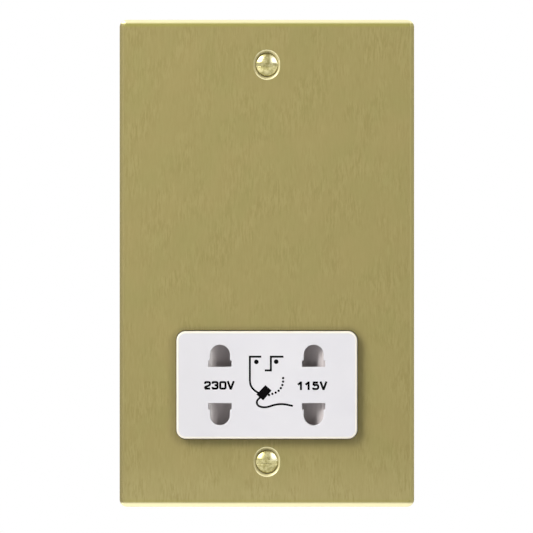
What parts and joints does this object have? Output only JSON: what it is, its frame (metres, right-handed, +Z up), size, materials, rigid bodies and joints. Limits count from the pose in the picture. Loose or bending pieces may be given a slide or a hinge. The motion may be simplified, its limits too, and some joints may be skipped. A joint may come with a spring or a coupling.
{
  "type": "shaver socket",
  "caption": "Flat metal faceplate with a raised white insert for two-pin shaver plugs, an interlocking shutter and an isolating transformer behind.",
  "frame": {"origin": "Middle of the faceplate's back, on the wall, halfway between the fixing screws.", "axes": "+X to the right as seen from the front, +Y into the wall, +Z up."},
  "size_m": [0.0896, 0.045, 0.148],
  "materials": {
    "plate_metal": "brushed upright, antique tone",
    "screw_brass": "polished",
    "insert_white": "satin moulded",
    "shutter_grey": "moulded",
    "chassis_black": "moulded",
    "cover_black": "fine spark texture",
    "spring_steel": "drawn wire",
    "contact_brass": "rolled strip",
    "core_steel": "stacked laminations",
    "bobbin_nylon": "moulded nylon",
    "winding_copper": "enamelled wire",
    "tape_yellow": "polyester tape",
    "tinned_pin": "tinned",
    "cutout_case": "sleeved",
    "zinc_screw": "zinc plated",
    "terminal_brass": "machined",
    "terminal_screw_zinc": "zinc plated",
    "lead_brown": "extruded sleeve",
    "lead_blue": "extruded sleeve",
    "lead_red": "extruded sleeve",
    "lead_yellow": "extruded sleeve",
    "lead_grey": "extruded sleeve"
  },
  "bodies": {
    "socket": {"faceplate": "plate_metal", "socket_insert": "insert_white", "fixing_screw_top": "screw_brass", "fixing_screw_bottom": "screw_brass", "chassis": "chassis_black", "shutter_spring_left": "spring_steel", "shutter_spring_right": "spring_steel", "contact_230v": "contact_brass", "contact_115v": "contact_brass", "contact_common": "contact_brass", "switch_rail": "contact_brass", "switch_pads": "contact_brass", "rear_cover": "cover_black", "core_e_stack": "core_steel", "core_i_stack": "core_steel", "bobbin": "bobbin_nylon", "primary_winding": "winding_copper", "secondary_winding": "winding_copper", "primary_tape": "tape_yellow", "secondary_tape": "tape_yellow", "primary_pins": "tinned_pin", "secondary_pins": "tinned_pin", "thermal_cutout": "cutout_case", "line_link": "terminal_brass", "neutral_link": "terminal_brass", "earth_strap": "terminal_brass", "core_screw_1": "zinc_screw", "core_screw_2": "zinc_screw", "core_screw_3": "zinc_screw", "core_screw_4": "zinc_screw", "cover_screw_1": "zinc_screw", "cover_screw_2": "zinc_screw", "cover_screw_3": "zinc_screw", "cover_screw_4": "zinc_screw", "terminal_line": "terminal_brass", "terminal_screw_line": "terminal_screw_zinc", "terminal_neutral": "terminal_brass", "terminal_screw_neutral": "terminal_screw_zinc", "terminal_earth": "terminal_brass", "terminal_screw_earth": "terminal_screw_zinc", "stud_nut_1": "zinc_screw", "stud_nut_2": "zinc_screw", "stud_nut_3": "zinc_screw", "stud_nut_4": "zinc_screw", "stud_washer_1": "zinc_screw", "stud_washer_2": "zinc_screw", "stud_washer_3": "zinc_screw", "lead_line": "lead_brown", "lead_switched": "lead_brown", "lead_primary": "lead_brown", "lead_neutral": "lead_blue", "lead_230": "lead_red", "lead_115": "lead_yellow", "lead_common": "lead_grey"},
    "shutter": {"shutter": "shutter_grey", "switch_wiper": "contact_brass"}
  },
  "joints": [
    {"name": "shutter_slide", "type": "slide", "parent": "socket", "child": "shutter", "axis": [1, 0, 0], "range_m": [-0.0067, 0.0067], "stiffness_N_per_m": 250, "deforming": ["shutter_spring_left", "shutter_spring_right"]}
  ]
}
